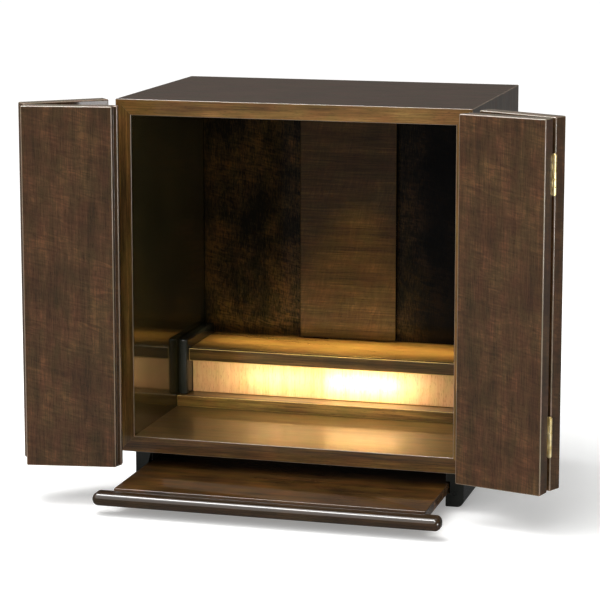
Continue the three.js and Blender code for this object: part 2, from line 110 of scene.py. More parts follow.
# Doors
LIP_WIDTH = 4 * MM
LIP_THICKNESS = 7.6 * MM
REBATE_WIDTH = 4 * MM
REBATE_DEPTH = 8.2 * MM

# Hinges: 38 mm brass butts
HINGE_LENGTH = 38 * MM
KNUCKLES = 5
KNUCKLE_RADIUS = 2.4 * MM
KNUCKLE_GAP = 0.3 * MM
KNUCKLE_EDGE = 0.25 * MM
PIN_HEAD_RADIUS = 1.7 * MM
PIN_HEAD_HEIGHT = 0.9 * MM
PIN_HEAD_EDGE = 0.6 * MM
PIN_HEAD_SUNK = 0.5 * MM
PLATE_THICKNESS = 1 * MM
PLATE_DEPTH = 2.9 * MM       # from the axis down to the plate's underside
PLATE_NEAR = 2 * MM          # from the axis along to the plate's near edge
PLATE_CORNER = 0.6 * MM
PLATE_EDGE = 0.15 * MM
TAB_NEAR = 0.3 * MM          # from the axis along to the tab that joins a knuckle to its plate
TAB_REACH = 3 * MM
SIDE_PLATE_REACH = 14.5 * MM
FOLD_PLATE_REACH = 12 * MM
BRASS_STEPS = 3              # faces round the fine edges of the plates and knuckles

# Screws
SCREW_RADIUS = 2.1 * MM
# Rings of a screw's head from its rim inwards, as shares of its radius
SCREW_RINGS = (1, 1, 0.96, 0.86, 0.74, 0.62, 0.5, 0.4, 0.3, 0.22, 0.14, 0.08, 0.02)
SCREW_DOME = 0.22 * MM
SCREW_RIM_DEPTH = 0.2 * MM
SCREW_SPACING = 12.5 * MM
SCREW_STAGGER = 1.2 * MM
CROSS_HALF_WIDTH = 0.32 * MM
CROSS_REACH = 1.3 * MM
CROSS_DEPTH = 0.5 * MM
CROSS_SLOPE = 1.6            # how steeply the recess's sides fall

# Patterns of veneer: length along the grain and width across it
FIBRE_LENGTH = 38 * MM
FIBRE_WIDTH = 0.9 * MM       # drawn coarser than the real ones, which are too fine to show
STREAK = (130 * MM, 7 * MM)
BLOTCH = (45 * MM, 32 * MM)
PORE = (5 * MM, 0.7 * MM)    # coarser than the real ones too
RIPPLE = (3.4 * MM, 20 * MM)
RIPPLE_LEAN = (0.12, -0.22, 0.0)    # in radians
CAST = (26 * MM, 12 * MM)    # patches of a faint tint
DEEPEST_PAINTED_SHADE = 0.12         # share of a wood's brightness that is left where the painted shade is deepest
NOISE_ROUGHNESS = 0.55

# Figures of veneer: weights of its fibres, streaks, blotches and ripples
STREAKY = (0.75, 0.85, 0.35, 0.0)
CALM = (0.5, 0.45, 0.35, 0.0)
FLAT = (0.25, 0.2, 0.3, 0.0)
RIPPLED = (0.65, 0.4, 0.6, 0.8)

# Stains, and painted light and shade on a few faces and edges: tones from the darkest to the palest
STAINS_AND_PAINTED_LIGHT = {
    "frame": ("#30220f", "#463217", "#533c1c", "#6d4e27"),
    # Painted light and shade: the front's rails and uprights are copies of one veneer, each painted to the
    # brightness the light gives it; the top rail is painted lightest, a painted highlight from the light
    # above.
    "bottom_rail": ("#382813", "#52391b", "#614521", "#7c592d"),
    "upright": ("#423016", "#5f4622", "#6f5229", "#8c6834"),
    "top_rail": ("#543c1e", "#6d5029", "#7b5b30", "#967041"),
    # Painted shade: the upper face is painted darker and greyer than the front.
    "top": ("#3a2d22", "#443529", "#4a3a2d", "#564535"),
    "side": ("#352719", "#42311f", "#493724", "#58432b"),
    # Painted highlights on rounded edges: a pale line, and below it a golden line where the lamps shine.
    "edge": ("#77695c", "#8b7d6f", "#a09284"),
    "painted_golden_edge": ("#7d6a3e", "#98824f", "#b09a63"),
    "floor": ("#46371f", "#5f4b2b", "#6b5633", "#7f683f"),
    "bar": ("#20160b", "#302110", "#392814", "#4b351b"),
    "shelf": ("#62492a", "#7c5e38", "#8a6b40", "#a37f4f"),
    "step": ("#3a2c14", "#554120", "#644e29", "#7c6335"),
    "nosing": ("#231909", "#37280f", "#433115", "#58421d"),
    "tray": ("#36240e", "#4e3517", "#5b3f1c", "#744f23"),
    "dark": ("#131006", "#29200e", "#382a13", "#543c1a"),
    "door": ("#36281a", "#46321f", "#503925", "#65482d"),
    "panel": ("#32240d", "#433113", "#4d3918", "#654c23"),
    "riser": ("#957450", "#a78662", "#b5946e"),
}
TONE_PLACES = {3: (0.3, 0.5, 0.7), 4: (0.3, 0.45, 0.57, 0.75)}

# Camera, fitted to the box's corners in the photograph
CAMERA_PLACE = (0.6206, -2.4424, 0.6454)
CAMERA_TURN = 15.42          # degrees round from square on
CAMERA_DIP = 9.42            # degrees below level
CAMERA_LENS = 143.04
CAMERA_SHIFT = -0.1
SENSOR_WIDTH = 36

# Studio
FLOOR_HALF = 30.0
FLOOR_GLOW = 0.3
FLOOR_IN_REFLECTIONS = 0.15  # share of the floor's brightness that polished faces mirror
SKY_LIGHT = 0.3              # share of the white surrounding's brightness that lights the cabinet
SKY_IN_REFLECTIONS = 0.35    # and the share of that which polished faces mirror
SUN_PLACE = (-1.5, -2.5, 4)
SUN_STRENGTH = 2.2
SUN_ANGLE = 80

# Softboxes: place, point aimed at, watts, width, height, and whether polished faces alone show it
SOFTBOXES = {
    "overhead_softbox": ((-0.6, -0.3, 2.0), (0, -0.1, 0.2), 25, 1.6, 1.0, False),
    "gleam_above": ((-0.35, -0.75, 1.9), (0, -0.2, 0.15), 60, 2.4, 0.25, True),
    "gleam_right": ((1.3, -0.9, 0.19), (0, -0.2, 0.15), 8, 0.5, 0.36, True),
}


def linear(colour):
    """The linear values of an sRGB hex colour."""
    srgb = np.array([int(colour[i:i + 2], 16) for i in (1, 3, 5)]) / 255
    return tuple(np.where(srgb <= 0.04045, srgb / 12.92, ((srgb + 0.055) / 1.055) ** 2.4))


def add(tree, kind, inputs=(), stops=(), **settings):
    """A node with its settings, and a colour ramp's stops, each a place and a hex colour.

    inputs is a list in the node's own order or a dict by name. Each is a value to set or another node's
    output to link.
    """
    node = tree.nodes.new(kind)
    for name, value in settings.items():
        setattr(node, name, value)
    for key, value in inputs.items() if isinstance(inputs, dict) else enumerate(inputs):
        if isinstance(value, bpy.types.NodeSocket):
            tree.links.new(value, node.inputs[key])
        else:
            node.inputs[key].default_value = value
    for _ in stops[2:]:
        node.color_ramp.elements.new(0.5)
    for index, (place, colour) in enumerate(stops):
        node.color_ramp.elements[index].position = place
        node.color_ramp.elements[index].color = (*linear(colour), 1)
    return node


def new_material(name, inputs_from):
    """A material whose Principled shader takes the inputs that inputs_from(tree) returns."""
    material = bpy.data.materials.new(name)
    material.use_nodes = True
    tree = material.node_tree
    tree.nodes.clear()
    shader = add(tree, "ShaderNodeBsdfPrincipled", inputs_from(tree))
    add(tree, "ShaderNodeOutputMaterial", {"Surface": shader.outputs["BSDF"]})
    return material


def place_on(tree, seed=(0, 0, 0)):
    """The point on the piece, moved by a seed in metres so that no two pieces show the same wood."""
    coordinates = add(tree, "ShaderNodeTexCoord")
    moved = add(tree, "ShaderNodeMapping", {"Vector": coordinates.outputs["Object"], "Location": seed})
    return moved.outputs["Vector"]


def stretched_noise(tree, place, sizes, detail=3.0, distortion=0.0):
    """Noise whose features are about as large as sizes, in metres along x, y and z."""
    scale = tuple(1 / size for size in sizes)
    scaled = add(tree, "ShaderNodeVectorMath", [place, scale], operation="MULTIPLY")
    noise = add(tree, "ShaderNodeTexNoise", {
        "Vector": scaled.outputs["Vector"], "Scale": 1.0, "Detail": detail,
        "Roughness": NOISE_ROUGHNESS, "Distortion": distortion,
    })
    return noise.outputs["Fac"]


def weighted(tree, start, terms):
    """A number plus the sum of each value times its weight."""
    total = start
    for value, weight in terms:
        step = add(tree, "ShaderNodeMath", [value, weight, total], operation="MULTIPLY_ADD")
        total = step.outputs["Value"]
    return total


def along_grain(grain, length, width):
    """Feature sizes on x, y and z for something long along one axis and narrow across it."""
    return tuple(length if axis == grain else width for axis in "xyz")


def tones(palette):
    """A palette's colours with their places on a ramp."""
    return list(zip(TONE_PLACES[len(palette)], palette))


def veneer(name, grain, palette, seed, figure=STREAKY, fibre_length=FIBRE_LENGTH, gloss=0.08, coat=1.0,
           specular=0.12, shade=None):
    """Lacquered wood veneer, whose tone is a half plus a sum of four patterns round zero.

    figure is their weights: fibres, streaks, blotches, and ripples that lean across the grain and come and
    go with the blotches. The tone picks a colour from the palette. A cast tints it pink or green by a
    little, and pores darken it. gloss is the lacquer's roughness. shade is two places along x, between which
    a painted shade darkens the wood to nearly black.
    """
    def inputs(tree):
        place = place_on(tree, seed)
        fibre = stretched_noise(tree, place, along_grain(grain, fibre_length, FIBRE_WIDTH), detail=4)
        streak = stretched_noise(tree, place, along_grain(grain, *STREAK), distortion=0.4)
        blotch = stretched_noise(tree, place, along_grain(grain, *BLOTCH), detail=2)
        pore = stretched_noise(tree, place, along_grain(grain, *PORE), detail=1)
        cast = stretched_noise(tree, place, along_grain(grain, *CAST), detail=3)
        leaning = add(tree, "ShaderNodeMapping", {"Vector": place, "Rotation": RIPPLE_LEAN})
        wave = stretched_noise(
            tree, leaning.outputs["Vector"], along_grain(grain, *RIPPLE), detail=3, distortion=1.2)
        centred = add(tree, "ShaderNodeMath", [wave, 0.5], operation="SUBTRACT")
        presence = add(tree, "ShaderNodeMapRange", [blotch, 0.35, 0.65, 0.3, 1.0])
        ripple = add(
            tree, "ShaderNodeMath", [centred.outputs["Value"], presence.outputs["Result"]],
            operation="MULTIPLY")
        patterns = (fibre, streak, blotch, ripple.outputs["Value"])
        tone = weighted(tree, 0.5 - sum(figure[:3]) / 2, zip(patterns, figure))
        depth = add(tree, "ShaderNodeMapRange", [pore, 0.3, 0.42, 0.7, 1.0]).outputs["Result"]
        # Painted shade: from one place along x to the other, the wood darkens to nearly black.
        if shade:
            across = add(tree, "ShaderNodeSeparateXYZ", [place_on(tree)])
            painted_shade = add(tree, "ShaderNodeMapRange", [across.outputs["X"], *shade, 1.0, DEEPEST_PAINTED_SHADE])
            darkened = add(
                tree, "ShaderNodeMath", [depth, painted_shade.outputs["Result"]], operation="MULTIPLY")
            depth = darkened.outputs["Value"]
        toned = add(tree, "ShaderNodeValToRGB", [tone], tones(palette))
        tint = add(tree, "ShaderNodeValToRGB", [cast], [(0.35, "#ffebe4"), (0.65, "#ebf1dd")])
        colour = toned.outputs["Color"]
        for factor in (tint.outputs["Color"], depth):
            mixed = add(tree, "ShaderNodeMix", {"Factor": 1.0, "A": colour, "B": factor},
                        data_type="RGBA", blend_type="MULTIPLY")
            colour = mixed.outputs["Result"]
        relief = add(tree, "ShaderNodeBump", {"Height": fibre, "Strength": 0.25, "Distance": 0.04 * MM})
        roughness = add(tree, "ShaderNodeMapRange", [fibre, 0.3, 0.7, 0.34, 0.52])
        return {
            "Base Color": colour, "Roughness": roughness.outputs["Result"],
            "Normal": relief.outputs["Normal"], "IOR": 1.5, "Specular IOR Level": specular,
            "Coat Weight": coat, "Coat Roughness": gloss, "Coat IOR": 1.5,
        }
    return new_material(name, inputs)


def lacquer(name, dark, pale, seed=(0, 0, 0), gloss=0.06):
    """Sprayed and buffed black lacquer: a slow drift of tone, and a skin that waves by a few hundredths."""
    def inputs(tree):
        place = place_on(tree, seed)
        drift = stretched_noise(tree, place, (60 * MM, 60 * MM, 90 * MM))
        peel = stretched_noise(tree, place, (3 * MM, 3 * MM, 3 * MM), detail=2)
        dust = stretched_noise(tree, place, (9 * MM, 9 * MM, 14 * MM), detail=4)
        colour = add(tree, "ShaderNodeValToRGB", [drift], [(0.3, dark), (0.7, pale)])
        relief = add(tree, "ShaderNodeBump", {"Height": peel, "Strength": 0.06, "Distance": 0.03 * MM})
        roughness = add(tree, "ShaderNodeMapRange", [dust, 0.35, 0.7, gloss, gloss * 2.2])
        return {
            "Base Color": colour.outputs["Color"], "Roughness": roughness.outputs["Result"],
            "Normal": relief.outputs["Normal"], "IOR": 1.5, "Specular IOR Level": 0.5,
        }
    return new_material(name, inputs)


def polished_brass():
    """Stamped and barrel-polished brass: long fine scratches and a faint tarnish."""
    def inputs(tree):
        place = place_on(tree, (0.3, 0.1, 0.2))
        tarnish = stretched_noise(tree, place, (4 * MM, 4 * MM, 7 * MM), detail=4)
        scratch = stretched_noise(tree, place, (0.4 * MM, 0.4 * MM, 9 * MM), detail=2)
        colour = add(
            tree, "ShaderNodeValToRGB", [tarnish], [(0.3, "#c9ad6a"), (0.5, "#e9d49a"), (0.7, "#f8eac2")])
        relief = add(tree, "ShaderNodeBump", {"Height": scratch, "Strength": 0.15, "Distance": 0.02 * MM})
        roughness = add(tree, "ShaderNodeMapRange", [scratch, 0.3, 0.7, 0.28, 0.46])
        return {
            "Base Color": colour.outputs["Color"], "Roughness": roughness.outputs["Result"],
            "Normal": relief.outputs["Normal"], "Metallic": 0.85,
        }
    return new_material("polished_brass", inputs)


def moulded_fitting():
    """Moulded dark plastic of the lamps' housings, with a fine even grain."""
    def inputs(tree):
        place = place_on(tree)
        grain = stretched_noise(tree, place, (0.6 * MM, 0.6 * MM, 0.6 * MM), detail=2)
        drift = stretched_noise(tree, place, (12 * MM, 12 * MM, 12 * MM), detail=2)
        colour = add(tree, "ShaderNodeValToRGB", [drift], [(0.3, "#1c1a17"), (0.7, "#2b2823")])
        relief = add(tree, "ShaderNodeBump", {"Height": grain, "Strength": 0.2, "Distance": 0.03 * MM})
        roughness = add(tree, "ShaderNodeMapRange", [grain, 0.3, 0.7, 0.45, 0.7])
        return {
            "Base Color": colour.outputs["Color"], "Roughness": roughness.outputs["Result"],
            "Normal": relief.outputs["Normal"], "IOR": 1.46,
        }
    return new_material("moulded_fitting", inputs)


def frosted_lens():
    """Frosted acrylic lens of a warm lamp, lit from behind."""
    def inputs(tree):
        frost = stretched_noise(tree, place_on(tree), (0.5 * MM, 0.5 * MM, 0.5 * MM), detail=2)
        colour = add(tree, "ShaderNodeValToRGB", [frost], [(0.3, "#f0d8a8"), (0.7, "#fff0cc")])
        relief = add(tree, "ShaderNodeBump", {"Height": frost, "Strength": 0.2, "Distance": 0.02 * MM})
        return {
            "Base Color": colour.outputs["Color"], "Roughness": 0.55, "Normal": relief.outputs["Normal"],
            "IOR": 1.49, "Emission Color": (*linear("#ffb458"), 1), "Emission Strength": LENS_GLOW,
        }
    return new_material("frosted_lens", inputs)


def rounded_outline(corners, radii, steps=ARC_STEPS):
    """A counterclockwise outline with round corners, as points and unit outward vectors.

    At each corner the outward vector turns evenly from one side's normal to the next side's, and the point
    is the arc's centre plus the radius along it, or minus at an inside corner.
    """
    corners = np.asarray(corners, float)
    ahead = np.roll(corners, -1, axis=0) - corners
    ahead /= np.linalg.norm(ahead, axis=1, keepdims=True)
    behind = np.roll(ahead, 1, axis=0)
    after = np.stack([ahead[:, 1], -ahead[:, 0]], axis=1)
    before = np.roll(after, 1, axis=0)
    outside = np.sign(behind[:, 0] * ahead[:, 1] - behind[:, 1] * ahead[:, 0])[:, None, None]
    angle = np.arccos(np.clip((before * after).sum(axis=1), -1, 1))[:, None]
    turn = angle * np.linspace(0, 1, steps + 1)
    vectors = np.sin(angle - turn)[..., None] * before[:, None] + np.sin(turn)[..., None] * after[:, None]
    vectors /= np.sin(angle)[..., None]
    radius = np.broadcast_to(radii, len(corners))[:, None, None]
    spread = (before + after)[:, None] / (1 + np.cos(angle))[..., None]
    points = corners[:, None] - outside * radius * spread + outside * radius * vectors
    return points.reshape(-1, 2), vectors.reshape(-1, 2)


def circle(radius, steps):
    """A circle about the origin, as points and unit outward vectors."""
    turn = np.linspace(0, 2 * np.pi, steps, endpoint=False)
    vectors = np.stack([np.cos(turn), np.sin(turn)], axis=1)
    return radius * vectors, vectors


def prism(outline, low, high, easing, steps=ARC_STEPS):
    """An outline carried from one height to another, as rings of points and their normals.

    At each end it draws in by easing times (1 - cos a) as it comes within easing times (1 - sin a) of the
    end, with a running from 0 to 90 degrees.
    """
    points, vectors = outline
    quarter = np.linspace(0, np.pi / 2, steps + 1)
    angle = np.concatenate([-quarter[::-1], quarter])
    height = np.where(np.arange(len(angle)) <= steps, low + easing, high - easing) + easing * np.sin(angle)
    inset = easing * (1 - np.cos(angle))
    flat = points[None] - inset[:, None, None] * vectors[None]
    rings = np.concatenate([flat, np.broadcast_to(height[:, None, None], (*flat.shape[:2], 1))], axis=2)
    sideways = np.cos(angle)[:, None, None] * vectors[None]
    upwards = np.broadcast_to(np.sin(angle)[:, None, None], (*flat.shape[:2], 1))
    return rings, np.concatenate([sideways, upwards], axis=2)


def rectangle(x0, x1, y0, y1, radius=EDGE):
    """The outline of a board with round corners."""
    return rounded_outline([(x0, y0), (x1, y0), (x1, y1), (x0, y1)], radius)


def eased_board(low, high, easing=EDGE):
    """A board between two corners, with every edge rounded."""
    return prism(rectangle(low[0], high[0], low[1], high[1], easing), low[2], high[2], easing)


def placed(surface, axes, origin=(0, 0, 0)):
    """The surface with its own three directions laid along axes, from an origin, still facing outwards."""
    rings, normals = (part @ np.asarray(axes, float) for part in surface)
    if np.linalg.det(np.asarray(axes, float)) < 0:
        rings, normals = rings[:, ::-1], normals[:, ::-1]
    return rings + np.asarray(origin), normals


def grid_normals(rings):
    """Normals of a surface with no formula for them: the cross product of its steps round and along."""
    around = np.roll(rings, -1, axis=1) - np.roll(rings, 1, axis=1)
    onwards = np.gradient(rings, axis=0)
    normals = np.cross(around, onwards)
    return normals / np.maximum(np.linalg.norm(normals, axis=2, keepdims=True), 1e-12)


def ring_faces(shape, first, closed):
    """The faces of a grid of rings whose points start at index first: quads, and a cap on each open end."""
    count, around = shape
    index = first + np.arange(count * around).reshape(count, around)
    if closed:
        index = np.concatenate([index, index[:1]])
    beside = np.roll(index, -1, axis=1)
    quads = np.stack([index[:-1], beside[:-1], beside[1:], index[1:]], axis=2).reshape(-1, 4).tolist()
    return quads if closed else [*quads, index[0, ::-1].tolist(), index[-1].tolist()]


def mesh_object(name, surfaces, materials, closed):
    """One object of several closed surfaces, each a grid of rings with normals, facing outwards.

    closed is true where the last ring joins the first one, as on the downlight's ring.
    """
    points, normals, faces = [], [], []
    for rings, vectors in surfaces:
        faces += ring_faces(rings.shape[:2], sum(map(len, points)), closed)
        points.append(rings.reshape(-1, 3))
        normals.append(vectors.reshape(-1, 3))
    mesh = bpy.data.meshes.new(name)
    mesh.from_pydata(np.concatenate(points).tolist(), [], faces)
    mesh.shade_smooth()
    mesh.normals_split_custom_set_from_vertices(np.concatenate(normals).tolist())
    for material in materials:
        mesh.materials.append(material)
    obj = bpy.data.objects.new(name, mesh)
    bpy.context.scene.collection.objects.link(obj)
    return obj


def paint(obj, slot_index, picked):
    """Gives a material slot to the faces for which picked(normals) is true."""
    count = len(obj.data.polygons)
    normals = np.empty(count * 3)
    obj.data.polygons.foreach_get("normal", normals)
    indices = np.empty(count, np.int32)
    obj.data.polygons.foreach_get("material_index", indices)
    indices[picked(normals.reshape(-1, 3))] = slot_index
    obj.data.polygons.foreach_set("material_index", indices)


def paint_side(obj, slot_index, way):
    """Gives a slot to the faces that look one way."""
    paint(obj, slot_index, lambda normals: normals @ np.array(way) > FACING)


def paint_edge_highlights(obj, slot_index, directions=np.eye(3)):
    """Gives a slot, for a painted highlight, to a board's rounded edges: the faces that look along none of
    its own directions.
    """
    paint(obj, slot_index, lambda normals: np.abs(normals @ directions.T).max(axis=1) < FLAT_FACE)


def dress(node, surfaces, materials, closed=False):
    """The finished piece that stands for a CAD node and rides on its body."""
    obj = mesh_object(f"finished_{node}", surfaces, materials, closed)
    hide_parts(node)
    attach(obj, frame["nodes"][node]["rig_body"])
    return obj


def corners_of(node):
    """A CAD node's lowest and highest corner as arrays."""
    return tuple(np.array(corner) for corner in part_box(node))


def joint(name):
    """A joint's entry in the frame."""
    return next(entry for entry in frame["joints"] if entry["name"] == name)


def turn_about(points, vectors, name, way):
    """Points and vectors turned about a joint's upright axis, between closed and the rest position.

    way is 1 from closed to rest, and -1 back. A joint's lower limit is its closed position.
    """
    entry = joint(name)
    angle = -way * entry["axis"][2] * math.radians(entry["range_deg"][0])
    turning = np.array([
        [math.cos(angle), math.sin(angle), 0], [-math.sin(angle), math.cos(angle), 0], [0, 0, 1],
    ])
    axis = np.array([*entry["pos_m"][:2], 0])
    return (points - axis) @ turning + axis, vectors @ turning


def opened(surface, joints):
    """A surface drawn with the door closed, turned to the rest position by the joints that carry it."""
    rings, normals = surface
    for name in joints:
        rings, normals = turn_about(rings, normals, name, 1)
    return rings, normals


def closed_corners(node, joints):
    """A CAD node's lowest and highest corner with the door closed."""
    mesh = frame["nodes"][node].data
    points = np.empty(len(mesh.vertices) * 3)
    mesh.vertices.foreach_get("co", points)
    points = points.reshape(-1, 3)
    for name in reversed(joints):
        points, _ = turn_about(points, points, name, -1)
    return points.min(axis=0), points.max(axis=0)


def mitred_board(half, thickness, front, rear):
    """A mitred board as rings along its length, in its own directions: depth in, y, length.

    The section is a rectangle with rounded corners. Each of its points ends where the mitre's slope cuts
    it, and the outer face curves round the mitre's tip by 45 degrees to meet the next board.
    """
    points, vectors = rounded_outline([(0, front), (thickness, front), (thickness, rear), (0, rear)], EDGE)
    depth = points[:, 0]
    quarter = np.linspace(0, np.pi / 4, ARC_STEPS + 1)
    angle = np.concatenate([quarter[::-1], quarter])[:, None]
    side = np.where(np.arange(len(angle)) <= ARC_STEPS, -1, 1)[:, None]
    inward = np.maximum(depth, EDGE * (1 - np.cos(angle)))
    room = np.maximum(inward, EDGE * (1 - np.sin(angle))) + TIP_SPREAD * (1 - angle / (np.pi / 4))
    length = side * (half - MITRE_GAP - room)
    rings = np.stack([inward, np.broadcast_to(points[:, 1], inward.shape), length], axis=2)
    outer = np.clip(-vectors[:, 0], 0, 1)
    normals = np.stack([
        np.where(vectors[:, 0] < 0, vectors[:, 0] * np.cos(angle), vectors[:, 0] + 0 * angle),
        np.broadcast_to(vectors[:, 1], inward.shape), side * outer * np.sin(angle),
    ], axis=2)
    return rings, normals


def make_box(wood):
    """The four mitred boards and the back. Their inner faces are finished apart from their outer ones."""
    low, _ = corners_of("carcass_bottom")
    top_low, high = corners_of("carcass_top")
    half_width = -corners_of("carcass_side_left")[0][0]
    half_height = (high[2] - low[2]) / 2
    middle = (low[2] + high[2]) / 2
    thickness = high[2] - top_low[2]
    across, upright, deep = (1, 0, 0), (0, 0, 1), (0, 1, 0)
    # Each board has half its length, its own directions, the middle of its outer face, and the finishes of
    # its front and rear, its inner face and its outer face.
    boards = {
        "carcass_top": (
            half_width, [(0, 0, -1), deep, across], (0, 0, high[2]),
            ("top_rail", "dark_inside", "top")),
        "carcass_bottom": (
            half_width, [(0, 0, 1), deep, across], (0, 0, low[2]),
            ("bottom_rail", "floor_inside", "side")),
        "carcass_side_left": (
            half_height, [(1, 0, 0), deep, upright], (-half_width, 0, middle),
            ("upright", "dark_inside", "side")),
        "carcass_side_right": (
            half_height, [(-1, 0, 0), deep, upright], (half_width, 0, middle),
            ("upright", "dark_inside", "side")),
    }
    for node, (half, axes, origin, faces) in boards.items():
        board = placed(mitred_board(half, thickness, low[1], high[1]), axes, origin)
        obj = dress(node, [board], [wood[face] for face in (*faces, "edge")])
        inwards = np.array(axes[0])
        paint_side(obj, 1, inwards)
        paint_side(obj, 2, -inwards)
        # Painted highlight: the rounded edges take the pale edge finish.
        paint_edge_highlights(obj, 3)
    back = dress(
        "carcass_back", [eased_board(*corners_of("carcass_back"))], [wood["back"], wood["rear"]])
    paint_side(back, 1, deep)


def make_interior(wood):
    """The step, the riser, the shelf with its nosing, the two cheeks and the figured centre panel."""
    boards = {
        "lower_step": ("step", EDGE), "upper_shelf": ("shelf", EDGE),
        "shelf_nosing": ("nosing", NOSING_EDGE),
    }
    for node, (finish, edge) in boards.items():
        board = eased_board(*corners_of(node), edge)
        # Painted highlight: the rounded edges of the step, shelf and nosing take a golden finish that stands
        # for the lamps' light.
        paint_edge_highlights(dress(node, [board], [wood[finish], wood["painted_golden_edge"]]), 1)
    dress("lit_riser", [eased_board(*corners_of("lit_riser"))], [wood["riser"]])
    for node in ("cheek_left", "cheek_right"):
        low, high = corners_of(node)
        nose = CHEEK_NOSE * (high[0] - low[0])
        outline = rounded_outline(
            [(low[0], low[1]), (high[0], low[1]), (high[0], high[1]), (low[0], high[1])],
            [nose, nose, CHEEK_TOP_EDGE, CHEEK_TOP_EDGE], 2 * ARC_STEPS)
        dress(node, [prism(outline, low[2], high[2], CHEEK_TOP_EDGE)], [wood["lacquer"]])
    panel = dress(
        "centre_panel", [eased_board(*corners_of("centre_panel"))], [wood["figured"], wood["lacquer"]])
    for way in ((-1, 0, 0), (1, 0, 0)):
        paint_side(panel, 1, way)


def make_lamps(wood):
    """The lamp strip under the shelf with its two lenses, and the ring and lens of the downlight."""
    strip = eased_board(*corners_of("shelf_lamp_strip"))
    dress("shelf_lamp_strip", [strip], [wood["fitting"]])
    for node in ("shelf_lamp_lens_left", "shelf_lamp_lens_right"):
        dress(node, [eased_board(*corners_of(node), LENS_EDGE)], [wood["lens"]])
    low, high = corners_of("downlight_lens")
    centre = (*((low + high) / 2)[:2], 0)
    lens_radius = (high[0] - low[0]) / 2
    lens = prism(circle(lens_radius, ROUND_STEPS), low[2], high[2], EDGE)
    dress("downlight_lens", [placed(lens, np.eye(3), centre)], [wood["lens"]])
    low, high = corners_of("downlight_ring")
    section = rectangle(lens_radius + LENS_GAP, high[0], low[2], high[2])
    turned, _ = circle(1, ROUND_STEPS)
    ring = tuple(np.concatenate([
        part[:, None, :1] * turned, np.repeat(part[:, None, 1:], len(turned), axis=1),
    ], axis=2) for part in section)
    dress("downlight_ring", [placed(ring, np.eye(3), centre)], [wood["fitting"]],
          closed=True)


def make_base(wood):
    """The two grooved runners and the rear rail, in black lacquer."""
    tray_low, tray_high = corners_of("tray_board")
    groove_low = tray_low[2] - GROOVE_CLEARANCE
    groove_high = tray_high[2] + GROOVE_CLEARANCE
    for node, side in (("base_runner_left", -1), ("base_runner_right", 1)):
        low, high = corners_of(node)
        outer = max(abs(low[0]), abs(high[0]))
        inner = outer - RUNNER_THICKNESS
        groove = inner + GROOVE_DEPTH
        outline = rounded_outline(
            [(inner, low[2]), (outer, low[2]), (outer, high[2]), (inner, high[2]),
             (inner, groove_high), (groove, groove_high), (groove, groove_low), (inner, groove_low)],
            [EDGE, RUNNER_CORNER, EDGE, EDGE, EDGE, INSIDE_CORNER, INSIDE_CORNER, EDGE], RUNNER_STEPS)
        runner = placed(prism(outline, low[1], high[1], EDGE), [(side, 0, 0), (0, 0, 1), (0, 1, 0)])
        dress(node, [runner], [wood["lacquer"]])
    rail = eased_board(*corners_of("base_rail_rear"))
    dress("base_rail_rear", [rail], [wood["lacquer"]])


def bullnosed_bar(low, high):
    """The tray's front bar as rings along x.

    The section has a full round nose at the front and small round corners at the back. Towards each end
    it shrinks about its own middle as a quarter circle does.
    """
    centre = (low + high) / 2
    half = (high - low) / 2
    nose = BAR_NOSE * half[2]
    points, vectors = rounded_outline(
        [(-half[1], -half[2]), (half[1], -half[2]), (half[1], half[2]), (-half[1], half[2])],
        [nose, BAR_BACK_RADIUS, BAR_BACK_RADIUS, nose], BAR_STEPS)
    quarter = np.linspace(0, np.pi / 2, BAR_STEPS + 1)
    angle = np.concatenate([-quarter[::-1], quarter])[:, None]
    end = np.where(np.arange(len(angle)) <= BAR_STEPS, -1, 1)[:, None]
    length = end * (half[0] - BAR_END_RADIUS) + BAR_END_RADIUS * np.sin(angle)
    shrink = BAR_END_RADIUS * (1 - np.cos(angle))
    ring_y = points[:, 0] * (1 - shrink / half[1])
    ring_z = points[:, 1] * (1 - shrink / half[2])
    rings = np.stack([ring_y, ring_z, np.broadcast_to(length, ring_y.shape)], axis=2)
    endwards = np.broadcast_to(np.sin(angle), ring_y.shape)
    normals = np.stack([
        vectors[:, 0] * np.cos(angle), vectors[:, 1] * np.cos(angle), endwards,
    ], axis=2)
    return placed((rings, normals), [(0, 1, 0), (0, 0, 1), (1, 0, 0)], centre)


def make_tray(wood):
    """The tray's board and its bullnosed front bar."""
    dress("tray_board", [eased_board(*corners_of("tray_board"))], [wood["tray"]])
    dress("tray_front_bar", [bullnosed_bar(*corners_of("tray_front_bar"))], [wood["bar"]])


def plain_leaf(low, high):
    """An outer leaf's plan, drawn closed."""
    return rectangle(low[0], high[0], low[1], high[1], LEAF_EDGE)


def lipped_leaf(low, high):
    """The left inner leaf's plan, drawn closed: a lip along its free edge laps behind the right leaf."""
    meeting = high[0] - LIP_WIDTH
    step = high[1] - LIP_THICKNESS
    return rounded_outline(
        [(low[0], low[1]), (meeting, low[1]), (meeting, step), (high[0], step),
         (high[0], high[1]), (low[0], high[1])],
        [LEAF_EDGE, LEAF_EDGE, INSIDE_CORNER, LEAF_EDGE, LEAF_EDGE, LEAF_EDGE])


def rebated_leaf(low, high):
    """The right inner leaf's plan, drawn closed: a rebate along its free edge takes the left leaf's lip."""
    step = high[1] - REBATE_DEPTH
    inner = low[0] + REBATE_WIDTH
    return rounded_outline(
        [(low[0], low[1]), (high[0], low[1]), (high[0], high[1]),
         (inner, high[1]), (inner, step), (low[0], step)],
        [LEAF_EDGE, LEAF_EDGE, LEAF_EDGE, LEAF_EDGE, INSIDE_CORNER, LEAF_EDGE])


